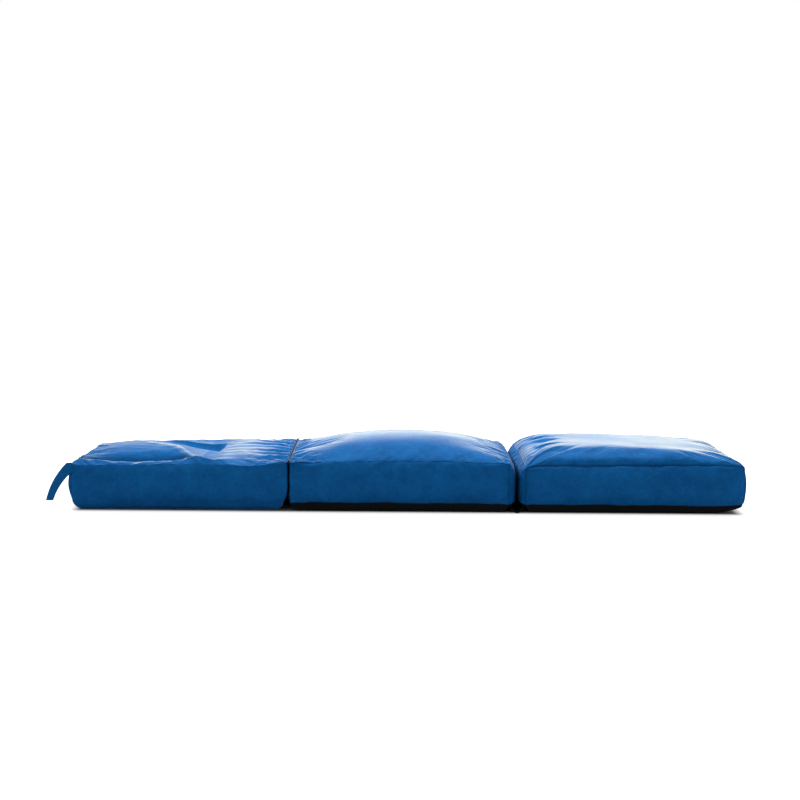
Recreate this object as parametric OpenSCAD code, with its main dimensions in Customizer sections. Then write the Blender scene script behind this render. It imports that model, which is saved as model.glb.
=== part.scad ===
// Folding futon chair: three boxed cushions joined in a row by two fabric
// hinges, laid out flat as a bed. X runs along its length, from the back
// section at low X to the foot section at high X, and Z is up. The origin is
// on the floor under the middle of the seat section.

/* [Sections] */
// Width of all three sections, seam to seam
section_w = 690; // [500:1:1000]
// Length of the back section, seam to seam
back_l = 860; // [600:1:1200]
// Length of the seat section, seam to seam
seat_l = 876; // [600:1:1200]
// Length of the foot section, seam to seam
foot_l = 876; // [600:1:1200]
// Height of the seat's top seam above the floor
seat_seam_h = 200; // [180:1:240]
// Height of the top seam at the back's free end
back_seam_h = 190; // [165:1:220]
// Height of the top seam at the foot section's free end
foot_seam_h = 194; // [170:1:230]
// Height of the foot section's top seam over the lower hinge
knee_seam_h = 188; // [170:1:230]
// Height of the seam round the base of each section
base_seam_h = 34; // [24:1:50]
// How far the flat of the base lies inside the base seam
base_inset = 40; // [26:1:60]

/* [Tops] */
// Rise of the seat's top above its seam
seat_crown = 80; // [40:1:90]
// Rise of the foot section's top above its seam
foot_crown = 70; // [40:1:110]
// Rise of the back's slack top above its seam, before its folds
back_crown = 10; // [0:1:14]
// Depth of the hollow behind the back's front edge
hollow_depth = 30; // [10:1:34]
// Height of the long slanting fold on the back
ridge_rise = 34; // [10:1:40]
// Height of the short fold on the back
short_fold_rise = 16; // [5:1:20]
// Height of the pleats that run into the upper hinge
pleat_rise = 5; // [1:0.5:6]

/* [Sides] */
// How far the seams draw in between their corners
seam_draw = 8; // [0:1:14]
// How far the long side panels swell out
side_bulge = 14; // [4:1:24]
// How far the free ends of the back and foot sections swell out
end_bulge = 12; // [4:1:24]
// How far the two ends over the lower hinge swell out
knee_bulge = 22; // [4:1:22]
// How far the two ends at the upper hinge swell out
hinge_bulge = 3; // [1:0.5:5]

/* [Hinges] */
// Gap between the top seams at the upper hinge
upper_gap = 12; // [10.5:0.5:20]
// Gap between the base seams at the lower hinge
lower_gap = 62; // [58:1:90]
// Thickness of the fabric strip of the lower hinge
strip_t = 2; // [1:0.1:3]

/* [Cover and filling] */
// Thickness of the suede cover with its backing
cover_t = 2.5; // [2.3:0.1:4]
// Gap left at each sewn seam
seam_gap = 0.3; // [0.2:0.05:0.5]
// Thickness of the fibre wrap round the foam core
wrap_t = 60; // [40:1:90]
// Height of the foam core
core_h = 100; // [60:1:110]
// Height of the core's underside above the floor
core_floor_h = 26; // [16:1:34]
// How far the back's slack top stands off its filling at the seam
back_slack = 34; // [32:1:40]

/* [Straps] */
// Length of a strap along its middle
strap_l = 155; // [100:1:200]
// Width of a strap where it is sewn on
strap_root_w = 42; // [30:1:46]
// Width of a strap at its free end
strap_tip_w = 31; // [20:1:40]
// Thickness of a strap, two layers of suede
strap_t = 3; // [2:0.5:4]
// Height of a strap's middle where it is sewn on
strap_h = 168; // [135:1:168]
// How much longer a strap is along its outer edge, from its slanted end cut
strap_cut = 12; // [0:1:20]
// Turn of the rear strap about its seam from the line of the bed (degrees); it hangs beside the rear panel
rear_strap_turn = 155; // [0:5:155]

/* [Zips] */
// Length of each zip
zip_l = 560; // [300:1:580]
// Width of one side of the zip's tape
tape_w = 13; // [10:0.5:16]
// Thickness of the zip's tape
tape_t = 0.8; // [0.5:0.1:1]
// Width of one row of the zip's coil
coil_w = 1.8; // [1.2:0.1:2.2]
// Height of the coil above the tape
coil_h = 1.6; // [1.2:0.1:2]
// Width of the slit between the two rows
slit_w = 1.6; // [1.4:0.1:2]
// Length of the stop at each end of a row
stop_l = 4; // [2:0.5:6]
// Thickness of the slider's plates, flanges and ears
slider_t = 1; // [0.8:0.1:1.2]
// Length of the slider
slider_l = 11; // [9:0.5:14]
// Running clearance all round the slider
slider_gap = 0.4; // [0.3:0.05:0.5]
// Length of the puller below its pivot
puller_l = 24; // [16:0.5:26]
// Width of the puller
puller_w = 6.5; // [5:0.5:8]
// Thickness of the puller
puller_t = 1.4; // [1:0.1:2]
// Width of the puller's eye, along the crossbar that it hangs on
eye_w = 3.4; // [2.5:0.1:4]
// Wall of the puller's eye
eye_wall = 1; // [0.8:0.1:1.4]
// Radius of the crossbar
crossbar_r = 0.9; // [0.7:0.05:1.1]
// Radial clearance of the eye on the crossbar
eye_gap = 0.1; // [0.05:0.01:0.2]

/* [Hidden] */
$fn = 48;
suede = [0.07, 0.3, 0.56];
suede_shade = [0.05, 0.24, 0.45];
base_cloth = [0.05, 0.06, 0.08];
fibre = [0.93, 0.93, 0.9];
foam = [0.9, 0.86, 0.62];
tape_blue = [0.04, 0.16, 0.32];
metal = [0.62, 0.63, 0.66];

// Half of the width, and the ends of the sections along X
half_w = section_w / 2;
seat_x1 = seat_l / 2;
seat_x0 = -seat_x1;
back_x1 = seat_x0 - upper_gap;
back_x0 = back_x1 - back_l;
foot_x0 = seat_x1 + lower_gap;
foot_x1 = foot_x0 + foot_l;

// Share along X, from -1 to 1, at which the top of the seat and of the foot
// section is highest
seat_apex_share = 0.04;
foot_apex_share = -0.3;

// Place in a section's list of its low and high ends, the top seam's height,
// the swell and the draw of its seams at each end, its crown, and the share
// along X where the top is highest
X0 = 0;
X1 = 1;
SEAM0 = 2;
SEAM1 = 3;
BULGE0 = 4;
BULGE1 = 5;
DRAW0 = 6;
DRAW1 = 7;
CROWN = 8;
APEX = 9;
back = [back_x0, back_x1, back_seam_h, seat_seam_h, end_bulge, hinge_bulge, seam_draw, 0, back_crown, 0];
seat = [
    seat_x0, seat_x1, seat_seam_h, seat_seam_h, hinge_bulge, knee_bulge, 0, -seam_draw, seat_crown,
    seat_apex_share
];
foot = [
    foot_x0, foot_x1, knee_seam_h, foot_seam_h, knee_bulge, end_bulge, seam_draw, 0, foot_crown,
    foot_apex_share
];

// Curves of a crown, as the two powers of a superellipse: from its highest
// place to each end, and from the middle to each long side
seat_left_shares = [2.2, 1];
seat_right_shares = [2.5, 1];
foot_left_shares = [3, 2];
foot_right_shares = [1.7, 2];
side_curve_shares = [2.4, 1];

// Grid lines of the panels, from -1 to 1 across each panel
top_u_shares = [-1, -0.9, -0.8, -0.6, -0.35, -0.1, 0.15, 0.4, 0.6, 0.8, 0.9, 1];
top_v_shares = [-1, -0.9, -0.7, -0.5, -0.25, 0, 0.25, 0.5, 0.7, 0.9, 1];
base_u_shares = [-1, -0.985, -0.955, -0.9, 0, 0.9, 0.955, 0.985, 1];
base_v_shares = [-1, -0.98, -0.945, -0.87, 0, 0.87, 0.945, 0.98, 1];
side_u_shares = [-1, -0.96, -0.9, -0.8, -0.7, -0.35, 0, 0.35, 0.7, 0.8, 0.9, 0.96, 1];
side_v_shares = [-1, -0.9, -0.7, -0.35, 0, 0.35, 0.7, 0.9, 1];
fold_u_shares = [-1, -0.94, -0.85, -0.74, -0.62, -0.5, -0.38, -0.26, -0.14, -0.02, 0.12,
    0.28, 0.44, 0.6, 0.76, 0.9, 1];
fold_v_shares = [-1, -0.93, -0.8, -0.64, -0.46, -0.28, -0.1, 0.1, 0.3, 0.5, 0.7, 0.88, 1];
strip_u_shares = [0, 0.12, 0.3, 0.5, 0.7, 0.88, 1];
// Half of a side panel's height over which it is upright, and its grid lines
band_share = 0.34;
side_w_shares = [-1, -band_share, band_share, 1];
// Half of a side panel's length over which it swells evenly
even_share = 0.7;

// The back's folds, as shares of its top across X and Y: middle and half
// sizes of the hollow, two ends and half width of each fold, and the place
// where the pleats begin
hollow_shares = [-0.52, -0.42, 0.42, 0.34];
ridge_shares = [-0.72, 0.86, 0.3, -0.86, 0.13];
short_fold_shares = [-0.2, 0.8, 0.42, 0.3, 0.11];
pleat_start_share = 0.45;
pleats = 5;

// Height of a section's top seam at grid line u
function seam_z(s, u) = s[SEAM0] + (s[SEAM1] - s[SEAM0]) * (u + 1) / 2;

// Swell of a side panel, even over its middle and none at its edges, and how
// much of the seams' draw reaches it at height share w
function swell(u, w) =
    let (t = max(0, (abs(u) - even_share) / (1 - even_share))) (1 - t * t) * (1 - w * w);
function pinch(w) = max(0, (w * w - band_share * band_share) / (1 - band_share * band_share));

// Place in plan of grid share (u, v) at height share w of the sides, with the
// whole outline moved in by inset
function plan(s, u, v, w, inset) =
    let (
        low_x = s[X0] + inset + s[DRAW0] * (1 - v * v) * pinch(w) - s[BULGE0] * swell(v, w),
        high_x = s[X1] - inset - s[DRAW1] * (1 - v * v) * pinch(w) + s[BULGE1] * swell(v, w),
        side_y = half_w - inset - seam_draw * (1 - u * u) * pinch(w) + side_bulge * swell(u, w)
    ) [low_x + (high_x - low_x) * (u + 1) / 2, side_y * v];

// Height of share w on a side panel, which stops a seam's gap short of both
// of its seams
function side_z(s, u, w) =
    base_seam_h + seam_gap + (seam_z(s, u) - base_seam_h - 2 * seam_gap) * (w + 1) / 2;

// Superellipse from 1 at t = 0 to 0 at t = 1, and a plump top made of two
function superellipse(t, powers) = pow(max(0, 1 - pow(t, powers[0])), 1 / powers[1]);
function plump(s, u, v, left, right) =
    (u < s[APEX] ? superellipse((s[APEX] - u) / (1 + s[APEX]), left)
        : superellipse((u - s[APEX]) / (1 - s[APEX]), right))
    * superellipse(abs(v), side_curve_shares);

// Bell curve, and the distance from point p to the line from a to b
function bell(t) = exp(-t * t);
function line_gap(p, a, b) =
    let (t = max(0, min(1, (p - a) * (b - a) / ((b - a) * (b - a))))) norm(p - a - t * (b - a));
function crease(u, v, line) =
    bell(line_gap([u, v], [line[0], line[1]], [line[2], line[3]]) / line[4]);

// Rise of the back's slack top: a low crown, one hollow, one long slanting
// fold, one short fold, and pleats that run into the hinge
function slack_rise(u, v) =
    let (
        edge = (1 - pow(u, 8)) * (1 - pow(v, 8)),
        hollow = bell((u - hollow_shares[0]) / hollow_shares[2])
            * bell((v - hollow_shares[1]) / hollow_shares[3]),
        near_hinge = max(0, (u - pleat_start_share) / (1 - pleat_start_share))
    ) edge * (back_crown - hollow_depth * hollow + ridge_rise * crease(u, v, ridge_shares)
        + short_fold_rise * crease(u, v, short_fold_shares)
        + pleat_rise * near_hinge * cos(pleats * 180 * v));

// Share of the base seam's height that the rounded edge of a base has dropped
function edge_drop(gap) =
    let (t = min(1, gap / base_inset)) sqrt(1 - (1 - t) * (1 - t));
function base_drop(s, u, v) =
    edge_drop((1 - abs(u)) * (s[X1] - s[X0]) / 2) * edge_drop((1 - abs(v)) * half_w);

// Triangles of an n by m grid of points whose first point is number k. Their
// long sides run from the corners towards the middle, which leaves no corner
// flat.
function sheet(n, m, k) = [
    for (i = [0:n - 2], j = [0:m - 2])
        let (a = k + i * m + j, b = a + m, towards = (2 * i < n - 1) == (2 * j < m - 1))
            each towards ? [[a, a + 1, b + 1], [a, b + 1, b]] : [[a, a + 1, b], [a + 1, b + 1, b]]
];
// Points round the edge of an n by m grid, in order
function rim(n, m) = concat(
    [for (i = [0:n - 2]) i * m],
    [for (j = [0:m - 2]) (n - 1) * m + j],
    [for (i = [n - 1:-1:1]) i * m + m - 1],
    [for (j = [m - 1:-1:1]) j]
);
// Triangles between two rings of points, which begin at numbers k0 and k1
function wall(ring, k0, k1) = [
    for (i = [0:len(ring) - 1])
        let (p = ring[i], q = ring[(i + 1) % len(ring)])
            each [[k0 + p, k0 + q, k1 + q], [k0 + p, k1 + q, k1 + p]]
];
function turned(faces) = [for (f = faces) [f[0], f[2], f[1]]];

// A closed skin between an outer and an inner grid of n by m points each
module skin(n, m, outer, inner, turn) {
    faces = concat(sheet(n, m, 0), turned(sheet(n, m, n * m)), wall(rim(n, m), 0, n * m));
    polyhedron(points = concat(outer, inner), faces = turn ? turned(faces) : faces, convexity = 6);
}

// Top panel of a plump section
module plump_top(s, left, right) {
    us = top_u_shares;
    vs = top_v_shares;
    outer = [for (u = us, v = vs)
        concat(plan(s, u, v, 1, 0), seam_z(s, u) + s[CROWN] * plump(s, u, v, left, right))];
    inner = [for (u = us, v = vs)
        concat(plan(s, u, v, 1, cover_t), seam_z(s, u) + (s[CROWN] - cover_t) * plump(s, u, v, left, right))];
    color(suede)
        skin(len(us), len(vs), outer, inner, false);
}

// Top panel of the back, slack and folded
module slack_top(s) {
    us = fold_u_shares;
    vs = fold_v_shares;
    outer = [for (u = us, v = vs) concat(plan(s, u, v, 1, 0), seam_z(s, u) + slack_rise(u, v))];
    inner = [for (u = us, v = vs)
        concat(plan(s, u, v, 1, cover_t),
            seam_z(s, u) + slack_rise(u, v) - cover_t * (1 - pow(u, 8)) * (1 - pow(v, 8)))];
    color(suede)
        skin(len(us), len(vs), outer, inner, false);
}

// Base panel of a section, flat on the floor and rounded up to its seam
module base_panel(s, cloth) {
    us = base_u_shares;
    vs = base_v_shares;
    outer = [for (u = us, v = vs)
        concat(plan(s, u, v, 1, 0), base_seam_h * (1 - base_drop(s, u, v)))];
    inner = [for (u = us, v = vs)
        concat(plan(s, u, v, 1, cover_t), base_seam_h - (base_seam_h - cover_t) * base_drop(s, u, v))];
    color(cloth)
        skin(len(us), len(vs), outer, inner, true);
}

// Long side panel: side is -1 at the front and 1 at the rear
function long_side_point(s, u, w, side, inset) =
    let (p = plan(s, u, side, w, 0)) [p[0], p[1] - side * inset, side_z(s, u, w)];
module long_side(s, side) {
    us = side_u_shares;
    ws = side_w_shares;
    outer = [for (u = us, w = ws) long_side_point(s, u, w, side, 0)];
    inner = [for (u = us, w = ws) long_side_point(s, u, w, side, cover_t)];
    color(suede_shade)
        skin(len(us), len(ws), outer, inner, side > 0);
}

// End panel, which stands between the long sides: side is -1 at low X and 1
// at high X
function end_point(s, v, w, side, inset) =
    [plan(s, side, v, w, 0)[0] - side * inset, v * (half_w - cover_t - seam_gap), side_z(s, side, w)];
module end_panel(s, side) {
    vs = side_v_shares;
    ws = side_w_shares;
    outer = [for (v = vs, w = ws) end_point(s, v, w, side, 0)];
    inner = [for (v = vs, w = ws) end_point(s, v, w, side, cover_t)];
    color(suede_shade)
        skin(len(vs), len(ws), outer, inner, side < 0);
}

// Rear panel, with the slot that the zip's tapes fill
slot_h = 2 * tape_w + slit_w + 2 * seam_gap;
module rear_panel(s) {
    color(suede_shade)
        difference() {
            long_side(s, 1);
            place_zip(s)
                translate([-zip_l / 2 - seam_gap, -2 * cover_t, -slot_h / 2])
                    cube([zip_l + 2 * seam_gap, 4 * cover_t, slot_h]);
        }
}

// Fibre wrap round the foam core. It fills the cover, and stands back from the
// sides by a share of their swell. top_z gives the height of its top at each
// grid share.
wrap_ease_share = 0.1;
wrap_inset = cover_t + seam_gap + wrap_ease_share * (seam_draw + side_bulge);
wrap_floor_z = cover_t + seam_gap;
module wrap_solid(s, top_z) {
    us = top_u_shares;
    vs = top_v_shares;
    n = len(us);
    m = len(vs);
    ring = rim(n, m);
    count = len(ring);
    edge = [for (k = ring) [us[floor(k / m)], vs[k % m]]];
    top = [for (u = us, v = vs) concat(plan(s, u, v, 1, wrap_inset), top_z(u, v))];
    rows = [for (w = [band_share, -band_share, -1], p = edge)
        concat(plan(s, p[0], p[1], w, wrap_inset), side_z(s, p[0], w))];
    under = [for (p = edge) concat(plan(s, p[0], p[1], 1, base_inset + 2 * wrap_inset), wrap_floor_z)];
    middle = [(s[X0] + s[X1]) / 2, 0, wrap_floor_z];
    steps = [for (i = [0:count - 1]) i];
    first = n * m;
    shoulder = [for (i = steps)
        let (j = (i + 1) % count)
            each [[ring[i], ring[j], first + j], [ring[i], first + j, first + i]]];
    sides = [for (k = [0:2]) each wall(steps, first + k * count, first + (k + 1) * count)];
    last = first + 4 * count;
    fan = [for (i = steps) [last - count + i, last - count + (i + 1) % count, last]];
    polyhedron(
        points = concat(top, rows, under, [middle]),
        faces = concat(sheet(n, m, 0), shoulder, sides, fan),
        convexity = 4
    );
}
function plump_wrap_z(s, left, right) = function(u, v)
    seam_z(s, u) - seam_gap + (s[CROWN] - cover_t - seam_gap) * plump(s, u, v, left, right);
function slack_wrap_z(s) = function(u, v) seam_z(s, u) - back_slack;

// Block of foam in the middle of a section, grown all round by grow
module core_block(s, grow) {
    length = s[X1] - s[X0] - 2 * wrap_t + 2 * grow;
    width = section_w - 2 * wrap_t + 2 * grow;
    translate([(s[X0] + s[X1] - length) / 2, -width / 2, core_floor_h - grow])
        cube([length, width, core_h + 2 * grow]);
}
module fibre_wrap(s, top_z) {
    color(fibre)
        difference() {
            wrap_solid(s, top_z);
            core_block(s, seam_gap);
        }
}
module foam_core(s) {
    color(foam)
        core_block(s, 0);
}

// A zip lies on the upright middle band of the rear panel: its own frame has
// X along the zip, Y out of the panel and Z up
zip_y = half_w + side_bulge * (1 - band_share * band_share);
module place_zip(s) {
    translate([(s[X0] + s[X1]) / 2, zip_y, (base_seam_h + seam_z(s, 0)) / 2])
        children();
}

// One side of the zip: tape, coil row and the stops at both ends, on the
// upper side (1) or the lower side (-1) of the slit
module zip_side(s, side) {
    low_z = slit_w / 2;
    stop_h = coil_h + slider_gap + slider_t;
    color(tape_blue)
        place_zip(s)
            mirror([0, 0, side < 0 ? 1 : 0]) {
                translate([-zip_l / 2, -tape_t, low_z])
                    cube([zip_l, tape_t, tape_w]);
                translate([-zip_l / 2, 0, low_z])
                    cube([zip_l, coil_h, coil_w]);
                for (end = [-1, 1])
                    translate([end * (zip_l - stop_l) / 2 - stop_l / 2, 0, low_z])
                        cube([stop_l, stop_h, coil_w]);
            }
}

// Slider at the closed end: two plates joined by a neck in the slit, flanges
// beside the coil, and two ears that hold the puller's crossbar
slider_x = zip_l / 2 - stop_l - slider_gap - slider_l / 2;
plate_y = coil_h + slider_gap;
slider_half_h = slit_w / 2 + coil_w + slider_gap + slider_t;
eye_r = crossbar_r + eye_gap + eye_wall;
pivot_y = plate_y + slider_t + eye_r + slider_gap;
ear_r = crossbar_r + slider_t / 2;
module zip_slider(s) {
    inner_y = -tape_t - slider_gap - slider_t;
    neck_h = slit_w - 2 * slider_gap;
    ear_x = eye_w / 2 + slider_gap;
    color(metal)
        place_zip(s)
            translate([slider_x, 0, 0]) {
                for (y = [inner_y, plate_y])
                    translate([-slider_l / 2, y, -slider_half_h])
                        cube([slider_l, slider_t, 2 * slider_half_h]);
                translate([-slider_l / 2, inner_y, -neck_h / 2])
                    cube([slider_l / 3, plate_y - inner_y + slider_t, neck_h]);
                for (z = [-slider_half_h, slider_half_h - slider_t])
                    translate([-slider_l / 2, slider_gap, z])
                        cube([slider_l, plate_y, slider_t]);
                for (x = [-ear_x - slider_t, ear_x]) {
                    translate([x, plate_y + slider_t / 2, -ear_r])
                        cube([slider_t, pivot_y - plate_y - slider_t / 2, 2 * ear_r]);
                    translate([x, pivot_y, 0])
                        rotate([0, 90, 0])
                            cylinder(r = ear_r, h = slider_t);
                }
                translate([-ear_x - slider_t / 2, pivot_y, 0])
                    rotate([0, 90, 0])
                        cylinder(r = crossbar_r, h = 2 * ear_x + slider_t);
            }
}

// Puller, hanging from the crossbar: an eye, a narrow neck and a plate
module zip_puller(s) {
    shoulder = eye_r + slider_t + slider_gap;
    color(metal)
        place_zip(s)
            translate([slider_x, pivot_y, 0])
                difference() {
                    union() {
                        rotate([0, 90, 0])
                            cylinder(r = eye_r, h = eye_w, center = true);
                        rotate([90, 0, 0])
                            linear_extrude(puller_t, center = true) {
                                translate([-eye_w / 2, -shoulder - puller_w / 2])
                                    square([eye_w, shoulder + puller_w / 2]);
                                translate([-puller_w / 2, puller_w / 2 - puller_l])
                                    square([puller_w, puller_l - puller_w / 2 - shoulder]);
                                translate([0, puller_w / 2 - puller_l])
                                    circle(r = puller_w / 2);
                            }
                    }
                    rotate([0, 90, 0])
                        cylinder(r = crossbar_r + eye_gap, h = 2 * eye_w, center = true);
                }
}

// Welt of the upper hinge, a round cord in the seam that joins the tops of
// the back and the seat; the back turns about its middle
upper_axis_x = seat_x0 - upper_gap / 2;
module upper_hinge_welt() {
    color(suede_shade)
        translate([upper_axis_x, half_w, seat_seam_h])
            rotate([90, 0, 0])
                cylinder(r = upper_gap / 2 - seam_gap, h = section_w);
}

// Strip of the lower hinge: base cloth from the seat's base seam to the foot
// section's, hanging down to the floor between them
module lower_hinge_strip() {
    us = strip_u_shares;
    vs = base_v_shares;
    function strip_x(u, v) =
        let (
            low = plan(seat, 1, v, 1, 0)[0] + seam_gap,
            high = plan(foot, -1, v, 1, 0)[0] - seam_gap
        ) low + (high - low) * u;
    function strip_z(u) =
        seam_gap + (base_seam_h - strip_t - seam_gap) * pow(2 * u - 1, 2);
    outer = [for (u = us, v = vs) [strip_x(u, v), v * half_w, strip_z(u)]];
    inner = [for (u = us, v = vs) [strip_x(u, v), v * half_w, strip_z(u) + strip_t]];
    color(base_cloth)
        skin(len(us), len(vs), outer, inner, true);
}

// Strap: a flat ribbon sewn into the upright corner seam at the back's free
// end, drooping in one even bend. Its root is a round edge that it swings on.
strap_lean = 25;
strap_fall = 82;
strap_bend_r = strap_l * 180 / (PI * (strap_fall - strap_lean));
strap_steps = 10;
strap_offset = (strap_t / 2 + seam_gap) / sqrt(2);
function strap_edge(t, side) =
    let (
        lean = strap_lean + (strap_fall - strap_lean) * t,
        half = (strap_root_w + (strap_tip_w - strap_root_w) * t) / 2
    ) strap_bend_r * [sin(strap_lean) - sin(lean), cos(lean) - cos(strap_lean)]
        + side * half * [-sin(lean), cos(lean)];
module strap(side, turn) {
    ts = [for (i = [1:strap_steps]) i / strap_steps];
    tip = strap_edge(1, 1) + strap_cut * [-cos(strap_fall), -sin(strap_fall)];
    outline = concat(
        [[0, -strap_root_w / 2], [0, strap_root_w / 2]],
        [for (t = ts) strap_edge(t, 1)],
        [tip],
        [for (i = [strap_steps - 1:-1:0]) strap_edge(ts[i], -1)]
    );
    color(suede)
        translate([back_x0 - strap_offset, side * (half_w + strap_offset), strap_h])
            rotate([0, 0, turn]) {
                rotate([90, 0, 0])
                    linear_extrude(strap_t, center = true)
                        polygon(outline);
                cylinder(r = strap_t / 2, h = strap_root_w, center = true);
            }
}

slack_top(back);  // back_top_panel
base_panel(back, suede_shade);  // back_base_panel
long_side(back, -1);  // back_front_panel
rear_panel(back);  // back_rear_panel
end_panel(back, -1);  // back_free_end_panel
end_panel(back, 1);  // back_hinge_end_panel
fibre_wrap(back, slack_wrap_z(back));  // back_fibre_wrap
foam_core(back);  // back_foam_core
zip_side(back, 1);  // back_zip_upper_tape
zip_side(back, -1);  // back_zip_lower_tape
zip_slider(back);  // back_zip_slider
zip_puller(back);  // back_zip_puller
plump_top(seat, seat_left_shares, seat_right_shares);  // seat_top_panel
base_panel(seat, base_cloth);  // seat_base_panel
long_side(seat, -1);  // seat_front_panel
rear_panel(seat);  // seat_rear_panel
end_panel(seat, -1);  // seat_hinge_end_panel
end_panel(seat, 1);  // seat_knee_end_panel
fibre_wrap(seat, plump_wrap_z(seat, seat_left_shares, seat_right_shares));  // seat_fibre_wrap
foam_core(seat);  // seat_foam_core
zip_side(seat, 1);  // seat_zip_upper_tape
zip_side(seat, -1);  // seat_zip_lower_tape
zip_slider(seat);  // seat_zip_slider
zip_puller(seat);  // seat_zip_puller
plump_top(foot, foot_left_shares, foot_right_shares);  // foot_top_panel
base_panel(foot, base_cloth);  // foot_base_panel
long_side(foot, -1);  // foot_front_panel
rear_panel(foot);  // foot_rear_panel
end_panel(foot, -1);  // foot_knee_end_panel
end_panel(foot, 1);  // foot_free_end_panel
fibre_wrap(foot, plump_wrap_z(foot, foot_left_shares, foot_right_shares));  // foot_fibre_wrap
foam_core(foot);  // foot_foam_core
zip_side(foot, 1);  // foot_zip_upper_tape
zip_side(foot, -1);  // foot_zip_lower_tape
zip_slider(foot);  // foot_zip_slider
zip_puller(foot);  // foot_zip_puller
upper_hinge_welt();
lower_hinge_strip();
strap(-1, 0);  // front_strap
strap(1, -rear_strap_turn);  // rear_strap
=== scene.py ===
import math

import bmesh
import bpy
import numpy as np
from mathutils import Matrix, Vector


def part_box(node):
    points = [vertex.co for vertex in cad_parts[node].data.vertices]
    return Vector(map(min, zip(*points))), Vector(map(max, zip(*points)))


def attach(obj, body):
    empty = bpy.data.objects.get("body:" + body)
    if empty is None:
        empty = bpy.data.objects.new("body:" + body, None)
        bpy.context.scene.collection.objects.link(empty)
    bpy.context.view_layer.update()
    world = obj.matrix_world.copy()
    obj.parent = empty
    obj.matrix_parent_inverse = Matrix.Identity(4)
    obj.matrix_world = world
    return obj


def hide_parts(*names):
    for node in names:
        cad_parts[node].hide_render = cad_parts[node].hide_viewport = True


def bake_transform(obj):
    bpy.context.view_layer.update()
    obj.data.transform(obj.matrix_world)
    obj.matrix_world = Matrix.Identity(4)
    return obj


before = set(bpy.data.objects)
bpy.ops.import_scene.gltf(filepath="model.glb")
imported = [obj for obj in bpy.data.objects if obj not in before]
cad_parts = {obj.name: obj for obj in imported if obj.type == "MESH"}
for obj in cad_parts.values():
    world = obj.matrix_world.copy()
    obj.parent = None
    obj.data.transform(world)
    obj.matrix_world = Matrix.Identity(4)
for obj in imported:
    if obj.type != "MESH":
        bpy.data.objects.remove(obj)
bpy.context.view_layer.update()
scene = bpy.context.scene

# The camera. It stands where the photograph was taken from: far off, a little
# above the cushions, square to their long side and with a slight roll.
eye = (-0.056, -6.561, 1.138)
yaw, pitch, roll = (math.radians(angle) for angle in (0.492, 6.292, 0.491))
forward = np.array(
    [math.sin(yaw) * math.cos(pitch), math.cos(yaw) * math.cos(pitch), -math.sin(pitch)]
)
level = np.array([math.cos(yaw), -math.sin(yaw), 0.0])
upright = np.cross(level, forward)
camera = bpy.data.objects.new("camera", bpy.data.cameras.new("camera"))
camera.data.sensor_width = 36.0
camera.data.lens = 71.06
camera.matrix_world = Matrix(
    [
        [across, above, -ahead, place]
        for across, above, ahead, place in zip(
            math.cos(roll) * level + math.sin(roll) * upright,
            math.cos(roll) * upright - math.sin(roll) * level,
            forward,
            eye,
        )
    ]
    + [[0, 0, 0, 1]]
)
scene.collection.objects.link(camera)
scene.camera = camera
scene.view_settings.view_transform = "Standard"


# The studio. A wide floor and a sky that the camera and every gloss see as pure
# white, soft light from all round, and two wide lamps above and behind.
class Signal:
    """A socket of a shader's node tree. An operator on it adds that Math node."""

    def __init__(self, tree, socket=None):
        self.tree, self.socket = tree, socket

    def make(self, kind, settings=None, sockets=None, out=0):
        """Any node: its settings first, then its sockets."""
        node = self.tree.nodes.new(kind)
        for key, value in (settings or {}).items():
            setattr(node, key, value)
        for key, value in (sockets or {}).items():
            if isinstance(value, Signal):
                self.tree.links.new(value.socket, node.inputs[key])
            else:
                node.inputs[key].default_value = value
        return Signal(self.tree, node.outputs[out] if node.outputs else None)

    def math(self, operation, *terms):
        return self.make("ShaderNodeMath", {"operation": operation}, dict(enumerate(terms)))

    def __add__(self, other):
        return self.math("ADD", self, other)

    def __sub__(self, other):
        return self.math("SUBTRACT", self, other)

    def __rsub__(self, other):
        return self.math("SUBTRACT", other, self)

    def __mul__(self, other):
        return self.math("MULTIPLY", self, other)

    def __truediv__(self, other):
        return self.math("DIVIDE", self, other)

    def __pow__(self, other):
        return self.math("POWER", self, other)

    __radd__ = __add__
    __rmul__ = __mul__


def seen_as_white(pen):
    """1 for camera, gloss and transmission rays, and 0 for the rays that light things."""
    rays = [
        pen.make("ShaderNodeLightPath", out=name)
        for name in ("Is Camera Ray", "Is Glossy Ray", "Is Transmission Ray")
    ]
    return rays[0].math("MAXIMUM", rays[0].math("MAXIMUM", rays[0], rays[1]), rays[2])


sky = bpy.data.worlds.new("studio")
sky.use_nodes = True
sky.node_tree.nodes.clear()
scene.world = sky
pen = Signal(sky.node_tree)
sky_light = 0.44
seen = seen_as_white(pen)
pen.make(
    "ShaderNodeOutputWorld",
    sockets={
        "Surface": pen.make(
            "ShaderNodeBackground",
            sockets={"Color": (1, 1, 1, 1), "Strength": seen * (1 - sky_light) + sky_light},
        )
    },
)


def blank_material(name):
    """A material with an empty node tree, the signal that fills it, and a piece's own
    coordinates in metres."""
    made = bpy.data.materials.new(name)
    made.use_nodes = True
    made.node_tree.nodes.clear()
    pen = Signal(made.node_tree)
    return made, pen, pen.make("ShaderNodeTexCoord", out="Object")


def show(pen, shader):
    """Makes a shader the surface of its material."""
    pen.make("ShaderNodeOutputMaterial", sockets={"Surface": shader})


def wear(piece, material):
    """Gives a piece its one material."""
    piece.data.materials.clear()
    piece.data.materials.append(material)


def mesh_piece(name, points, faces):
    """A new object at the origin from an (n, 3) array of points and lists of faces."""
    mesh = bpy.data.meshes.new(name)
    mesh.from_pydata(points.tolist(), [], [face.tolist() for rows in faces for face in rows])
    mesh.shade_smooth()
    piece = bpy.data.objects.new(name, mesh)
    scene.collection.objects.link(piece)
    return piece


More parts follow.
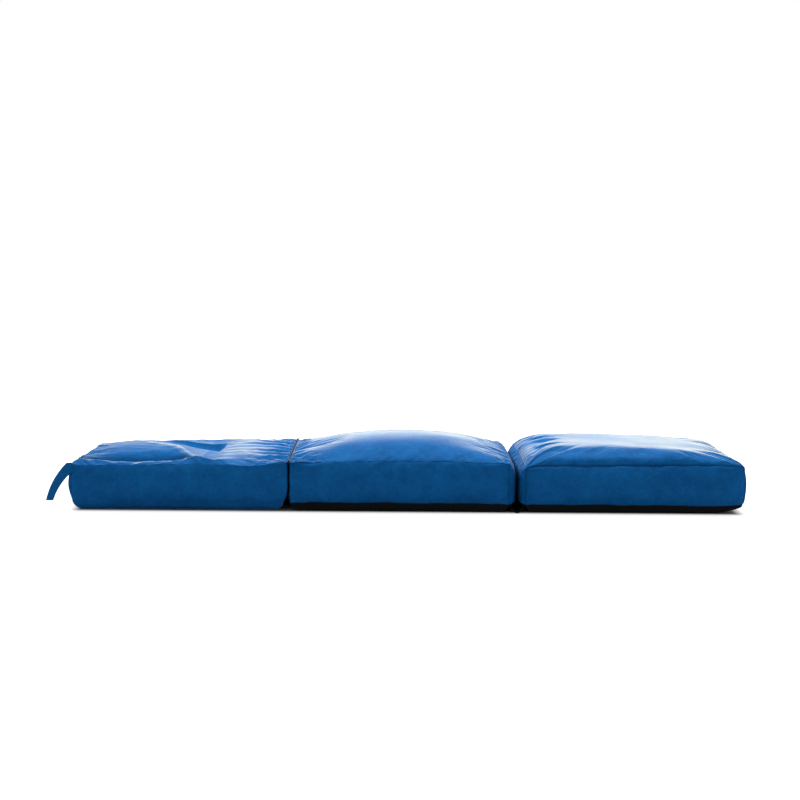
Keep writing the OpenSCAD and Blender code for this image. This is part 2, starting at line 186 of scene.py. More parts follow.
floor_half, floor_z = 300.0, -0.0004
floor = mesh_piece(
    "floor",
    np.array([[-1, -1, 0], [1, -1, 0], [1, 1, 0], [-1, 1, 0]]) * floor_half + [0, 0, floor_z],
    [np.array([[0, 1, 2, 3]])],
)
floor_white, pen, spot = blank_material("floor_white")
floor_shade, floor_glow, painted_shadow_reach, painted_shadow_inset = 0.55, 0.80, 0.045, 0.03
# Close round the cushions' footprint the floor's white glow fades out, which leaves a darker band
# there: a painted contact shadow.
past = []
first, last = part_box("back_base_panel")[0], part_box("foot_base_panel")[1]
for axis in range(2):
    middle, half = (last[axis] + first[axis]) / 2, (last[axis] - first[axis]) / 2
    along = pen.make("ShaderNodeSeparateXYZ", sockets={0: spot}, out=axis)
    past.append(pen.math("MAXIMUM", pen.math("ABSOLUTE", along - middle) - (half - painted_shadow_inset), 0))
clear_of_painted_shadow = pen.math("MINIMUM", (past[0] ** 2 + past[1] ** 2) ** 0.5 / painted_shadow_reach, 1)
glow = seen_as_white(pen) * clear_of_painted_shadow * floor_glow
show(
    pen,
    pen.make(
        "ShaderNodeAddShader",
        sockets={
            0: pen.make("ShaderNodeBsdfDiffuse", sockets={"Color": (floor_shade,) * 3 + (1,)}),
            1: pen.make("ShaderNodeEmission", sockets={"Color": (1, 1, 1, 1), "Strength": glow}),
        },
    ),
)
wear(floor, floor_white)


def lamp(name, place, aim, size, power):
    """A rectangular area lamp at place that points at aim."""
    light = bpy.data.lights.new(name, "AREA")
    light.shape, (light.size, light.size_y), light.energy = "RECTANGLE", size, power
    holder = bpy.data.objects.new(name, light)
    holder.rotation_euler = (Vector(aim) - Vector(place)).to_track_quat("-Z", "Y").to_euler()
    holder.location = place
    scene.collection.objects.link(holder)


lamp("top_lamp", (0.0, 1.2, 3.2), (0.0, 0.0, 0.1), (5.0, 2.2), 190)
lamp("back_lamp", (0.0, 5.0, 1.25), (0.0, 0.0, 0.15), (7.0, 1.0), 390)


# The form of the three boxed sections, which their filling and covers share.
# Each has a top, a base, two long sides and two ends, which meet in plain
# seams; these pull the cloth into a groove, and the panels swell between.
half_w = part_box("seat_top_panel")[1].y
base_seam, base_inset = 0.034, 0.040
side_draw, side_bulge = 0.008, 0.014
corner_r, hinge_corner_r, even_share, band_share = 0.014, 0.005, 0.7, 0.34
groove_reach, groove_depth, gather_reach = 0.013, 0.0032, 0.032
free_tuck, hinge_tuck, corner_sag, base_lift = 0.005, 0.016, 0.016, 1.6


class Section:
    """One boxed cushion in metres: its two ends with their bulges and draws, the heights
    of its top seam with the lift of its front one, the fall of its base seam towards its
    high end, how far its base's rounding reaches in, the rise of its top, the slack of its
    cloth by the low end, high end, sides and open field, the size of the gathers at its
    corners, and how hard its filling pushes. The back's ends are tucked in low down."""

    def __init__(
        self, name, ends, seams, lift, base_fall, bulges, draws, base_insets, rise, slack,
        gathers, push,
    ):
        low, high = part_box(f"{name}_front_panel")
        self.name, self.ends, self.x0, self.x1 = name, ends, low.x, high.x
        self.seams, self.lift, self.bulges, self.draws = seams, lift, bulges, draws
        self.base_fall, self.base_insets, self.rise = base_fall, base_insets, rise
        self.slack, self.gathers, self.push = slack, gathers, push
        self.middle, self.length = (low.x + high.x) / 2, high.x - low.x
        self.tucks = [tuck * (name == "back") for tuck in (free_tuck, hinge_tuck)]

    def seam_z(self, u, v):
        """The top seam: even from end to end, with the lift near the front side, and the
        far corner of the back's free end sagging."""
        even = self.seams[0] + (self.seams[1] - self.seams[0]) * (u + 1) / 2
        sag = corner_sag * (self.name == "back") * ((1 - u) / 2) ** 8 * ((1 + v) / 2) ** 2
        return even + self.lift(u) * ((1 - v) / 2) ** 6 - sag

    def base_z(self, u):
        """The base seam, which falls by the square of the way to the high end, and rises
        again close to it."""
        far = (1 + u) / 2
        return base_seam - self.base_fall * (far**2 - base_lift * far**12)


def swell(along, w):
    """Even over the middle of a panel and none at its edges: (1 - t^2)(1 - w^2)."""
    t = np.clip((np.abs(along) - even_share) / (1 - even_share), 0, None)
    return (1 - t * t) * (1 - w * w)


def plan(part, u, v, w):
    """Place in plan at shares u and v: between two ends and two sides, each drawn in
    between its corners at the seams and swelling at mid height. The ends that face another
    section swell over nearly their whole height. A corner is rounded: its square of side
    corner_r, or hinge_corner_r at the upper hinge, is drawn in to a quarter disc."""
    pinch = np.clip((w * w - band_share**2) / (1 - band_share**2), 0, None)
    low_part = np.clip((-w - 0.2) / 0.8, 0, 1) ** 2
    out = []
    for end in (0, 1):
        if part.ends[end] == "knee_end":
            share = np.sqrt(swell(v, 0 * w)) * np.where(w > 0, 1 - 0.92 * w**5, 1 - w**30)
        elif part.ends[end] == "hinge_end":
            share = (0.6 + 0.4 * np.sqrt(swell(v, 0 * w))) * (1 - w**6)
        else:
            share = (0.65 + 0.35 * swell(v, 0 * w)) * (1 - w * w)
        drawn = part.draws[end] * (1 - v * v) * pinch
        out.append(part.bulges[end] * share - drawn - part.tucks[end] * low_part)
    low, high = part.x0 - out[0], part.x1 + out[1]
    x = low + (high - low) * (u + 1) / 2
    y = (half_w - side_draw * (1 - u * u) * pinch + side_bulge * swell(u, w)) * v
    radii = (hinge_corner_r if end == "hinge_end" else corner_r for end in part.ends)
    corner = np.where(x < part.middle, *radii)
    past_x = np.clip(np.abs(x - part.middle) - part.length / 2 + corner, 0, None)
    past_y = np.clip(np.abs(y) - half_w + corner, 0, None)
    spare = 1 - np.maximum(past_x, past_y) / np.maximum(np.hypot(past_x, past_y), 1e-9)
    spare = np.where((past_x > 0) & (past_y > 0), spare, 0)
    return x - np.sign(x - part.middle) * past_x * spare, y - np.sign(y) * past_y * spare


def ripple(points, length, seed, waves=9):
    """Smooth seeded noise of about one wavelength: a sum of plane waves in space."""
    draw = np.random.default_rng(seed)
    turns = draw.normal(size=(waves, 3))
    turns *= 2 * np.pi / length * draw.uniform(0.7, 1.3, (waves, 1))
    turns /= np.linalg.norm(turns, axis=1, keepdims=True) / (2 * np.pi / length)
    return np.sin(points @ turns.T + draw.uniform(0, 2 * np.pi, waves)).sum(-1) / math.sqrt(waves)


def near(gap, reach):
    """1 on a line and 0 at reach from it, as a smooth step."""
    t = 1 - np.clip(gap / reach, 0, 1)
    return t * t * (3 - 2 * t)


def until(past, reach):
    """1 as far as a line and 0 from reach past it, as a smooth step."""
    return near(np.clip(past, 0, None), reach)


def gathered(part, face, x, y, z, seam):
    """How far the cloth stands out round a section's four corners, where it is gathered:
    creases that fan out from the corner, sin(8 a) with a finer sin(14 a), by the angle a
    from its seam, times r exp(1 - r), which peaks at gather_reach from the corner."""
    out = 0 * x
    for end, size in zip((part.x0, part.x1), part.gathers):
        run = np.abs(x - end)
        drop = np.clip(half_w - np.abs(y) if face == "top" else seam - z, 0, None)
        r, fan = np.hypot(run, drop) / gather_reach, np.arctan2(drop, run)
        out = out + size * r * np.exp(1 - r) * (np.sin(8 * fan) + 0.5 * np.sin(14 * fan))
    return out


def cover_point(part, face, u, v, w, depth=groove_depth):
    """A section's surface at shares u along X, v across and w in height: the boxed form,
    slow lumps of its filling, a waver of the seams, gathers at its corners, and the seams'
    grooves, in which each panel dips by depth along the bisector of the panels that meet
    there. The back's grooves are a quarter as deep, and none is left by a hinge."""
    x, y = plan(part, u, v, w)
    seam, floor_seam = part.seam_z(u, v), part.base_z(u)
    gap_x, gap_y = (1 - np.abs(u)) * part.length / 2, (1 - np.abs(v)) * half_w
    if face == "top":
        z = seam + part.rise(part, x, y, u, v)
    elif face == "base":
        inset = np.where(u < 0, *part.base_insets)
        drop_x, drop_y = (
            np.sqrt(1 - (1 - np.clip(gap / reach, 0, 1)) ** 2)
            for gap, reach in ((gap_x, inset), (gap_y, base_inset))
        )
        z = floor_seam * (1 - drop_x * drop_y)
    else:
        z = floor_seam + (seam - floor_seam) * (w + 1) / 2
    dip_x, dip_y, dip_top, dip_base = (
        np.clip(1 - gap / groove_reach, 0, 1) ** 2.2
        for gap in (gap_x, gap_y, seam - z, z - floor_seam)
    )
    if face in ("top", "base"):
        beside = np.minimum(gap_x, gap_y)
        lift = np.maximum(dip_x, dip_y) * (1 if face == "base" else -1)
    else:
        beside = np.minimum(seam - z, z - floor_seam)
        beside = np.minimum(beside, gap_x if face in ("front", "rear") else gap_y)
        lift = dip_base - dip_top
        if face in ("front", "rear"):
            dip_y = np.maximum(dip_x, np.abs(lift))
        else:
            dip_x = np.maximum(dip_y, np.abs(lift))
    place = np.stack([x, y, z], -1)
    lumps, waver = (
        np.stack([ripple(place, length, seed + axis) for axis in range(3)], -1)
        for length, seed in ((0.21, 11), (0.055, 31))
    )
    lump_size, waver_size = [0.0008, 0.0020, 0.0020], [0.0006, 0.0011, 0.0011]
    waver *= bell(beside / 0.02)[..., None]
    shift = lumps * lump_size + waver * waver_size
    dip = np.stack([-np.sign(u) * dip_x, -np.sign(v) * dip_y, lift], -1)
    if part.name == "back":
        dip *= 0.25 * np.clip(z / base_seam - 1, 0, 1)[..., None]
    runs = (1 + u) * part.length / 2, (1 - u) * part.length / 2
    by_hinge = sum(near(run, 0.03) * (end != "free_end") for run, end in zip(runs, part.ends))
    dip *= (1 - 0.9 * np.clip(by_hinge, 0, 1))[..., None]
    if face in ("top", "front", "rear"):
        stand = gathered(part, face, x, y, z, seam)
        place[..., 2 if face == "top" else 1] += stand * (np.sign(v) if face != "top" else 1)
    return place + shift * np.clip(z / 0.06, 0, 1)[..., None] + depth * dip


def spread(count, fine=0.3):
    """Shares from -1 to 1, t + fine (t - t^3), which lie closer near both ends."""
    t = np.linspace(-1, 1, count)
    return t + fine * (t - t**3)


def quads(n, m, flip=False):
    """The faces of an n by m grid of points."""
    first = (np.arange(n - 1)[:, None] * m + np.arange(m - 1)).ravel()
    made = np.stack([first, first + m, first + m + 1, first + 1], 1)
    return made[:, ::-1] if flip else made


def six_faces(along, across, upward):
    """Shares u along X, v across and w in height over the six faces of a box, and whether
    a face's quads turn to point outwards. Faces that meet share their edge points."""
    made = {}
    for face in ("top", "base", "front", "rear", "low_end", "high_end"):
        side = 1.0 if face in ("top", "rear", "high_end") else -1.0
        if face in ("top", "base"):
            u, v = np.meshgrid(along, across, indexing="ij")
            w = side + 0 * u
        elif face in ("front", "rear"):
            u, w = np.meshgrid(along, upward, indexing="ij")
            v = side + 0 * u
        else:
            v, w = np.meshgrid(across, upward, indexing="ij")
            u = side + 0 * v
        made[face] = (u, v, w, face in ("base", "rear", "low_end"))
    return made


def welded(grids):
    """All grids (points, turn) as one closed mesh: its points, its faces, and the number of
    each grid point."""
    stacked = np.concatenate([points.reshape(-1, 3) for points, *_ in grids.values()])
    _, first, number = np.unique(
        np.round(stacked, 5), axis=0, return_index=True, return_inverse=True
    )
    number = number.ravel()
    faces, start = [], 0
    for points, turn, *_ in grids.values():
        faces.append(number[quads(*points.shape[:2], turn) + start])
        start += points[..., 0].size
    return stacked[first], faces, number


def superellipse(t, n, m):
    """(1 - t^n)^(1/m), from 1 at t = 0 to 0 at t = 1."""
    return np.clip(1 - np.clip(t, 0, 1) ** n, 0, None) ** (1 / m)


def bell(t):
    """exp(-t^2)."""
    return np.exp(-t * t)


def plump_rise(crown, apex, left, right, across):
    """A plump top: superellipses from the apex to both ends, times one to the sides."""

    def rise(part, x, y, u, v):
        t = np.where(u < apex, (apex - u) / (1 + apex), (u - apex) / (1 - apex))
        ends = np.where(u < apex, superellipse(t, *left), superellipse(t, *right))
        return crown * ends * superellipse(np.abs(v), *across)

    return rise


def crest(s, blunt, reach):
    """A crisp rounded ridge across s: exp((blunt - sqrt(s^2 + blunt^2)) / reach)."""
    return np.exp((blunt - np.sqrt(s * s + blunt * blunt)) / reach)


def slack_lines(x, y):
    """Where the back's folds lie: how far a point is ahead of the long slanting fold, which
    bends a little as it runs, and the curve that the second fold follows across X."""
    ahead = 0.87 * (-0.938 - 0.565 * y - 0.53 * y * y - x) + 0.004 * np.sin(23 * y + 1)
    second_x = [-1.10, -0.953, -0.824, -0.756, -0.733]
    return ahead, np.interp(x, second_x, [0.33, 0.235, 0.160, 0.125, 0.185])


def slack_rise(part, x, y, u, v):
    """The back's slack top, above its seam: a roll along the front edge with a dent in it
    and a groove behind it, a low dome that ends in a long slanting fold, a pocket behind
    the fold that a second, curved fold drops into, a fuller field that is highest before
    the hinge, fine pleats that run to the hinge, and slow rumples. All of it fades out at
    the seams by 1 - t^n."""
    from_front, from_left = y + half_w, x - part.x0
    ahead, second = slack_lines(x, y)
    before, behind = np.clip(ahead, 0, None), np.clip(-ahead, 0, None)
    dome = 0.013 * bell((from_front - 0.38) / 0.20) * bell(behind / 0.10)
    dome *= 1 - bell(from_left / 0.12)
    fold = crest(ahead, 0.004, np.where(ahead > 0, 0.026, 0.090))
    fold *= 0.010 * (1 - 0.8 * from_front / 0.69)
    groove = 0.026 * bell((from_front - 0.085) / 0.080) * (1 - bell(before / 0.05))
    groove *= 1 - bell(from_left / 0.10)
    pocket = 0.021 * np.clip((x + 1.12) / 0.16, 0, 1) * (1 - until(-0.728 - x, 0.040))
    pocket *= 1 - np.exp(-((np.clip(second - y, 0, None) / 0.034) ** 1.6))
    pocket *= until(0.23 - behind, 0.23)
    ledge = 0.005 * crest(y - second, 0.006, 0.030)
    ledge *= np.clip((x + 1.12) / 0.2, 0, 1) * until(x + 0.76, 0.1)
    pleats = 0.0011 * np.sin(from_front / 0.0135 + 5 * x + 0.8 * np.sin(9 * x))
    pleats *= np.clip((x + 0.80) / 0.10, 0, 1) * (1 - v**8)
    rumple = 0.0009 * ripple(np.stack([x, y, 0 * x], -1), 0.075, 97)
    full_x = [-1.31, -1.16, -0.85, -0.74, -0.62, -0.52, -0.45]
    full = np.interp(x, full_x, [0.002, 0.003, 0, 0.003, 0.010, 0.009, 0.002])
    roll_x = [-1.31, -1.20, -0.82, -0.72, -0.60, -0.45]
    roll = np.interp(x, roll_x, [0.016, 0.022, 0.021, 0.008, 0.003, 0.002])
    roll *= bell((from_front - 0.042) / 0.031)
    dent = 0.010 * bell((x + 0.785) / 0.011) * bell((from_front - 0.018) / 0.030)
    field = dome + fold - groove - pocket + ledge + pleats + rumple
    return (
        (1 - u**10) * (1 - v**14) * field
        + (1 - u**10) * (1 - v**4) * full
        + (1 - u**24) * (1 - v**24) * (roll - dent)
    )


back = Section(
    "back",
    ends=("free_end", "hinge_end"),
    seams=(0.190, 0.200),
    lift=lambda u: (u**12 - 1) * (
        0.008 * np.clip((0.5 - u) / 0.5, 0, 1) + 0.014 * bell((u - 0.6) / 0.28)
    ),
    base_fall=0,
    bulges=(0.012, 0.0045),
    draws=(0.008, 0),
    base_insets=(0.036, 0.050),
    rise=slack_rise,
    slack=(0.30, 1.0, 0.10, 0.12),
    gathers=(0, 0.0022),
    push=0.4,
)
seat = Section(
    "seat",
    ends=("hinge_end", "knee_end"),
    seams=(0.200, 0.200),
    lift=lambda u: 0.009 * (1 - u**2),
    base_fall=0,
    bulges=(0.0045, 0.0275),
    draws=(0, -0.008),
    base_insets=(0.040, 0.040),
    rise=plump_rise(0.080, 0.04, (2.2, 1), (2.5, 1), (2.6, 1.12)),
    slack=(1.0, 0.3, 0.12, 0),
    gathers=(0.0026, 0.0012),
    push=2.0,
)
foot = Section(
    "foot",
    ends=("knee_end", "free_end"),
    seams=(0.188, 0.194),
    lift=lambda u: 0.007 * (1 - ((1 - u) / 2) ** 2),
    base_fall=0.009,
    bulges=(0.0275, 0.012),
    draws=(0.008, 0),
    base_insets=(0.040, 0.190),
    rise=plump_rise(0.061, -0.3, (4, 2.0), (2.0, 1.9), (6, 1.8)),
    slack=(0.45, 0.15, 0.12, 0),
    gathers=(0.0020, 0.0008),
    push=2.0,
)


# The foam cores. A block of soft yellow polyurethane foam lies low in each
# section and gives it its flat base; its edges are worn round.
def block_grids(low, high, radius, counts):
    """A box with round edges: each point of the box goes to the sphere of that radius round
    the nearest point of the box shrunk by the radius."""
    middle, half = (np.array(high) + low) / 2, (np.array(high) - low) / 2
    made = {}
    for face, (u, v, w, turn) in six_faces(*(spread(count) for count in counts)).items():
        place = np.stack([u, v, w], -1) * half
        nearest = np.clip(place, radius - half, half - radius)
        away = place - nearest
        away *= radius / np.linalg.norm(away, axis=-1, keepdims=True)
        made[face] = (middle + nearest + away, turn)
    return made


def noise(pen, spot, scale, detail, roughness=0.5, distortion=0.0):
    """A Noise node over a piece's own coordinates."""
    sockets = {"Vector": spot, "Scale": scale, "Detail": detail, "Roughness": roughness}
    return pen.make("ShaderNodeTexNoise", sockets={**sockets, "Distortion": distortion})


def mixed(pen, share, low, high):
    """The colour at a share of the way from low to high, each a signal or three numbers."""
    low, high = (tint if isinstance(tint, Signal) else (*tint, 1) for tint in (low, high))
    return pen.make("ShaderNodeMix", {"data_type": "RGBA"}, {0: share, 6: low, 7: high}, out=2)


def bump(pen, strength, distance, height):
    """The normals of a relief that stands up by distance in metres."""
    sockets = {"Strength": strength, "Distance": distance, "Height": height}
    return pen.make("ShaderNodeBump", sockets=sockets)


def principled(pen, colour, roughness, gloss=0.5, others=None):
    """A Principled shader: colour, roughness, specular level and what others name."""
    sockets = {"Base Color": colour, "Roughness": roughness, "Specular IOR Level": gloss}
    return pen.make("ShaderNodeBsdfPrincipled", sockets={**sockets, **(others or {})})


core_edge = 0.008
foam, pen, spot = blank_material("cut_foam")
cells = pen.make("ShaderNodeTexVoronoi", sockets={"Vector": spot, "Scale": 900.0})
cloud = noise(pen, spot, 14.0, 4.0)
colour = mixed(pen, cloud * 0.6 + cells * 0.5, (0.80, 0.72, 0.38), (0.62, 0.52, 0.22))
pitted = {"Normal": bump(pen, 0.6, 0.0008, cells)}
show(pen, principled(pen, colour, 0.95 - 0.1 * cells, 0.15, pitted))
for part in (back, seat, foot):
    low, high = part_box(f"{part.name}_foam_core")
    points, faces, _ = welded(block_grids(low, high, core_edge, (81, 71, 21)))
    points[:, 2] -= 0.0008 * np.abs(ripple(points, 0.09, 5))
    core = mesh_piece(f"{part.name}_core", points, faces)
    wear(core, foam)
    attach(core, part.name)
    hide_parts(f"{part.name}_foam_core")


# The wadding. Loose white polyester fibre is packed all round the core, thin
# at the sides and heaped up on top, where it gives each section its crown.
wadding_gap, wadding_lift, core_gap, hollow_edge = 0.0082, 0.0030, 0.0006, 0.0084
fibre, pen, spot = blank_material("white_wadding")
strands, tufts = noise(pen, spot, 260.0, 6.0, 0.75, 2.5), noise(pen, spot, 30.0, 3.0)
colour = mixed(pen, strands * 0.7 + tufts * 0.3, (0.66, 0.66, 0.63), (0.90, 0.90, 0.88))
relief = bump(pen, 0.8, 0.0015, strands * 0.6 + tufts)
fluff = {"Sheen Weight": 0.4, "Sheen Roughness": 0.5, "Normal": relief}
show(pen, principled(pen, colour, 0.95 - 0.1 * strands, 0.1, fluff))
for part, fill in ((back, 0.45), (seat, 0.8), (foot, 0.8)):
    grids = {}
    for face, (u, v, w, turn) in six_faces(spread(121), spread(97), spread(21)).items():
        place = cover_point(part, face, u, v, w, depth=0)
        place[..., 0] += (part.middle - place[..., 0]) * 2 * wadding_gap / part.length
        place[..., 1] *= 1 - wadding_gap / half_w
        place[..., 2] += wadding_lift - (wadding_gap + wadding_lift) * (w + 1) / 2
        for length, size in ((0.030, 0.0004), (0.012, 0.0002)):
            place[..., 2] -= size * np.abs(ripple(place, length, 51))
        grids[face] = (place, turn)
    points, faces, _ = welded(grids)
    low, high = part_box(f"{part.name}_foam_core")
    gap = Vector((core_gap,) * 3)
    hollow, walls, _ = welded(block_grids(low - gap, high + gap, hollow_edge, (61, 51, 15)))
    faces += [rows[:, ::-1] + len(points) for rows in walls]
    wadding = mesh_piece(f"{part.name}_wadding", np.concatenate([points, hollow]), faces)
    wear(wadding, fibre)
    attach(wadding, part.name)
    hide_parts(f"{part.name}_fibre_wrap")


# The covers. Six panels of brushed blue suede cloth, or of black dotted base
# cloth under the seat and the foot, are cut with a seam allowance, sewn inside
# out and turned. The cloth is a little longer than its place by each seam.
cover_t, allowance, backing_gap = 0.0016, 0.012, 0.0002


def slack_share(part, face, u, v):
    """How slack the cloth is cut, from 0 to 1, by how near each top seam is."""
    low, high, side, open_field = part.slack
    from_low, from_high = part.length / 2 * (1 + u), part.length / 2 * (1 - u)
    if face in ("low_end", "high_end"):
        return 0.6 * (low if face == "low_end" else high) + 0 * v
    reach = 0.24 if face == "top" else 0.10
    by_end = np.maximum(low * near(from_low, reach), high * near(from_high, reach))
    if face in ("front", "rear"):
        return np.maximum(by_end, 0.5 * side)
    by_side = side * near((1 - np.abs(v)) * half_w, 0.13)
    return np.maximum(np.maximum(by_end, by_side), open_field)


def settle(part, grids):
    """How far each grid point of a cover moves when it settles by cloth simulation. Its
    seams stay where they are sewn, the filling pushes it out, and the slack of its cloth
    buckles into gathers. No point moves further than its panel's cap, and none far
    enough in to touch the filling. The top keeps its own form and takes the gathers alone:
    form_share of its move, blurred over blur_steps grid steps, is taken off again."""
    most_slack, frames, inward_cap, blur_steps, form_share = 0.075, 16, 0.006, 7, 0.85
    upper = {face: grid for face, grid in grids.items() if face != "base"}
    place, faces, number = welded(upper)
    sewn, spare, cap = (np.zeros(len(place)) for _ in range(3))
    start = 0
    for face, (points, _, slack) in upper.items():
        own = number[start : start + slack.size].reshape(slack.shape)
        start += slack.size
        spare[own] = np.maximum(spare[own], slack)
        cap[own] = {"top": 0.016, "front": 0.007, "rear": 0.004}.get(face, 0.007)
        if face.endswith("end") and part.ends[face == "high_end"] == "hinge_end":
            cap[own] = 0.0015
        for rim in (own[0], own[-1], own[:, 0], own[:, -1]):
            sewn[rim] = 1
    model = mesh_piece("settling", place, faces)
    for name, weights in (("held", sewn), ("tight", np.round(1 - spare, 2))):
        group = model.vertex_groups.new(name=name)
        for weight in np.unique(weights):
            group.add(np.nonzero(weights == weight)[0].tolist(), float(weight), "REPLACE")
    cloth = model.modifiers.new("cloth", "CLOTH")
    rules = cloth.settings
    rules.quality, rules.mass, rules.air_damping = 4, 0.15, 2
    rules.tension_stiffness = rules.compression_stiffness = 25
    rules.shear_stiffness, rules.bending_stiffness = 10, 0.02
    rules.tension_damping = rules.compression_damping = rules.shear_damping = 10
    rules.effector_weights.gravity = 0
    rules.use_pressure, rules.uniform_pressure_force = True, part.push
    rules.vertex_group_mass, rules.vertex_group_shrink = "held", "tight"
    rules.shrink_min, rules.shrink_max = -most_slack, 0
    cloth.collision_settings.use_collision = False
    for step in range(frames):
        scene.frame_set(step + 1)
    settled = model.evaluated_get(bpy.context.evaluated_depsgraph_get()).data
    moved, normals = np.zeros(len(place) * 3), np.zeros(len(place) * 3)
    settled.vertices.foreach_get("co", moved)
    model.data.vertices.foreach_get("normal", normals)
    bpy.data.objects.remove(model)
    scene.frame_set(1)
    move, normals = moved.reshape(-1, 3) - place, normals.reshape(-1, 3)
    size = np.maximum(np.linalg.norm(move, axis=1), 1e-9)
    move *= (cap * np.tanh(size / cap) / size)[:, None]
    inward = np.clip((move * normals).sum(1), None, 0)
    move -= normals * (inward - inward_cap * np.tanh(inward / inward_cap))[:, None]
    start, moves = 0, {"base": 0}
    for face, (points, _, slack) in upper.items():
        moves[face] = move[number[start : start + slack.size]].reshape(points.shape)
        start += slack.size
    blurs = []
    for count in moves["top"].shape[:2]:
        step = np.arange(count)
        blur = bell((step[:, None] - step) / blur_steps)
        by_rim = np.clip(np.minimum(step, step[::-1]) / 4, 0, 1)
        blurs.append(blur / blur.sum(1, keepdims=True) * by_rim[:, None])
    moves["top"] -= form_share * np.einsum("ia,jb,abk->ijk", *blurs, moves["top"], optimize=True)
    return moves


def finer(coarse, fine):
    """Weights that carry values from coarse shares to fine ones along a smooth curve
    through them (a cubic by four neighbours, ends repeated)."""
    at = np.clip(np.interp(fine, coarse, np.arange(len(coarse))), 0, len(coarse) - 1 - 1e-9)
    first = at.astype(int)
    t = at - first
    parts = (
        (-t + 2 * t**2 - t**3) / 2,
        (2 - 5 * t**2 + 3 * t**3) / 2,
        (t + 4 * t**2 - 3 * t**3) / 2,
        (t**3 - t**2) / 2,
    )
    weights = np.zeros((len(fine), len(coarse)))
    for step, part in enumerate(parts):
        column = np.clip(first - 1 + step, 0, len(coarse) - 1)
        np.add.at(weights, (np.arange(len(fine)), column), part)
    return weights


suede, pen, spot = blank_material("blue_suede")
patches, brush = noise(pen, spot, 11.0, 5.0, 0.62), noise(pen, spot, 70.0, 4.0, 0.6)
nap = noise(pen, spot, 900.0, 2.0, 0.7)
tone = (patches - 0.5) * 1.5 + (brush - 0.5) * 0.9 + (nap - 0.5) * 0.5 + 0.5
relief = {"Normal": bump(pen, 0.35, 0.001, brush * 0.8 + nap * 0.35)}
sheen = {"Sheen Weight": 1.0, "Sheen Roughness": 0.22, "Sheen Tint": (0.97, 0.95, 0.66, 1)}
colour = mixed(pen, tone, (0.002, 0.078, 0.262), (0.006, 0.142, 0.428))
pile = principled(pen, colour, 0.86 - 0.12 * brush, 0.06, {**sheen, **relief})
# A darker copy of the pile without its sheen, and a near-black blue: both are painted shade, mixed
# in by the shares that each point keeps.
colour = mixed(pen, tone, (0.002, 0.066, 0.222), (0.005, 0.120, 0.360))
painted_shade_pile = principled(pen, colour, 0.95 - 0.1 * brush, 0.03, relief)
painted_dark_shade = principled(pen, (0.002, 0.018, 0.055, 1), 1.0, 0.0)
for mark_name, under in (("laid", painted_shade_pile), ("seam", painted_dark_shade)):
    share = pen.make("ShaderNodeAttribute", {"attribute_name": mark_name}, out="Fac")
    pile = pen.make("ShaderNodeMixShader", sockets={0: share, 1: pile, 2: under})
show(pen, pile)

# The base cloth's small grey dots show on its underside alone, below 12 mm.
dot_pitch, dot_r, dot_edge, dot_phase = 0.008, 0.0012, 0.0004, 100.5
dot_top, dot_fade = 0.012, 0.004
black_cloth, pen, spot = blank_material("black_base_cloth")
weave = noise(pen, spot, 700.0, 2.0)
along = [pen.make("ShaderNodeSeparateXYZ", sockets={0: spot}, out=axis) for axis in range(3)]
away = [(pen.math("FRACT", side / dot_pitch + dot_phase) - 0.5) * dot_pitch for side in along[:2]]
in_dot = (dot_r - (away[0] ** 2 + away[1] ** 2) ** 0.5) / dot_edge
dot, low_down = (
    pen.math("MINIMUM", pen.math("MAXIMUM", share, 0), 1)
    for share in (in_dot, (dot_top - along[2]) / dot_fade)
)
dot = dot * low_down
colour = mixed(pen, weave, (0.0012, 0.0016, 0.0022), (0.0045, 0.0055, 0.0070))
colour = mixed(pen, dot, colour, (0.010, 0.011, 0.012))
raised = {"Normal": bump(pen, 0.6, 0.0006, dot + 0.3 * weave)}
show(pen, principled(pen, colour, 0.9 - 0.35 * dot, 0.12, raised))


zip_y = half_w + side_bulge * (1 - band_share**2)
slot_x, slot_z, slot_flat, slot_fade = 0.2785, 0.0085, 0.030, 0.04


def place_zip(part):
    """The middle of a section's zip: half way along, and half way up its rear panel."""
    return np.array([part.middle, zip_y, (base_seam + part.seam_z(0.0, 1.0)) / 2])


def open_slot(part, points):
    """Opens a rear panel for its zip. The grid's nearest columns and rows move onto the
    slot's edges, with their neighbours following by a linear share, and the panel is laid
    flat over the tapes' backing. Returns the points, and the quads that the cloth keeps."""
    follow_x, follow_z = 5, 6
    points, middle = points.copy(), place_zip(part)
    local = points - middle
    count = points.shape[:2]
    ends = [int(np.argmin(np.abs(local[:, 0, 0] - end))) for end in (-slot_x, slot_x)]
    mid = count[0] // 2
    rows = [int(np.argmin(np.abs(local[mid, :, 2] - end))) for end in (-slot_z, slot_z)]
    for end, place in zip(ends, (-slot_x, slot_x)):
        share = np.clip(1 - np.abs(np.arange(count[0]) - end) / follow_x, 0, None)[:, None]
        points[..., 0] += share * (place - local[end, :, 0])[None, :]
    local = points - middle
    fade = until(np.abs(local[..., 0]) - slot_x - 0.002, slot_fade)
    anchors = [rows[0] - follow_z, *rows, rows[1] + follow_z]
    for row, place, shares in ((rows[0], -slot_z, (0, 1, 0, 0)), (rows[1], slot_z, (0, 0, 1, 0))):
        share = np.interp(np.arange(count[1]), anchors, shares)
        points[..., 2] += fade * share[None, :] * (place - local[:, row, 2])[:, None]
    local = points - middle
    past_x, past_z = (
        np.clip(np.abs(local[..., axis]) - half, 0, None)
        for axis, half in ((0, slot_x), (2, slot_z))
    )
    flat = near(np.hypot(past_x, past_z), slot_flat)
    points[..., 1] += flat * (zip_y + cover_t + backing_gap - points[..., 1])
    column, row = np.divmod(np.arange((count[0] - 1) * (count[1] - 1)), count[1] - 1)
    inside = (column >= ends[0]) & (column < ends[1]) & (row >= rows[0]) & (row < rows[1])
    return points, ~inside


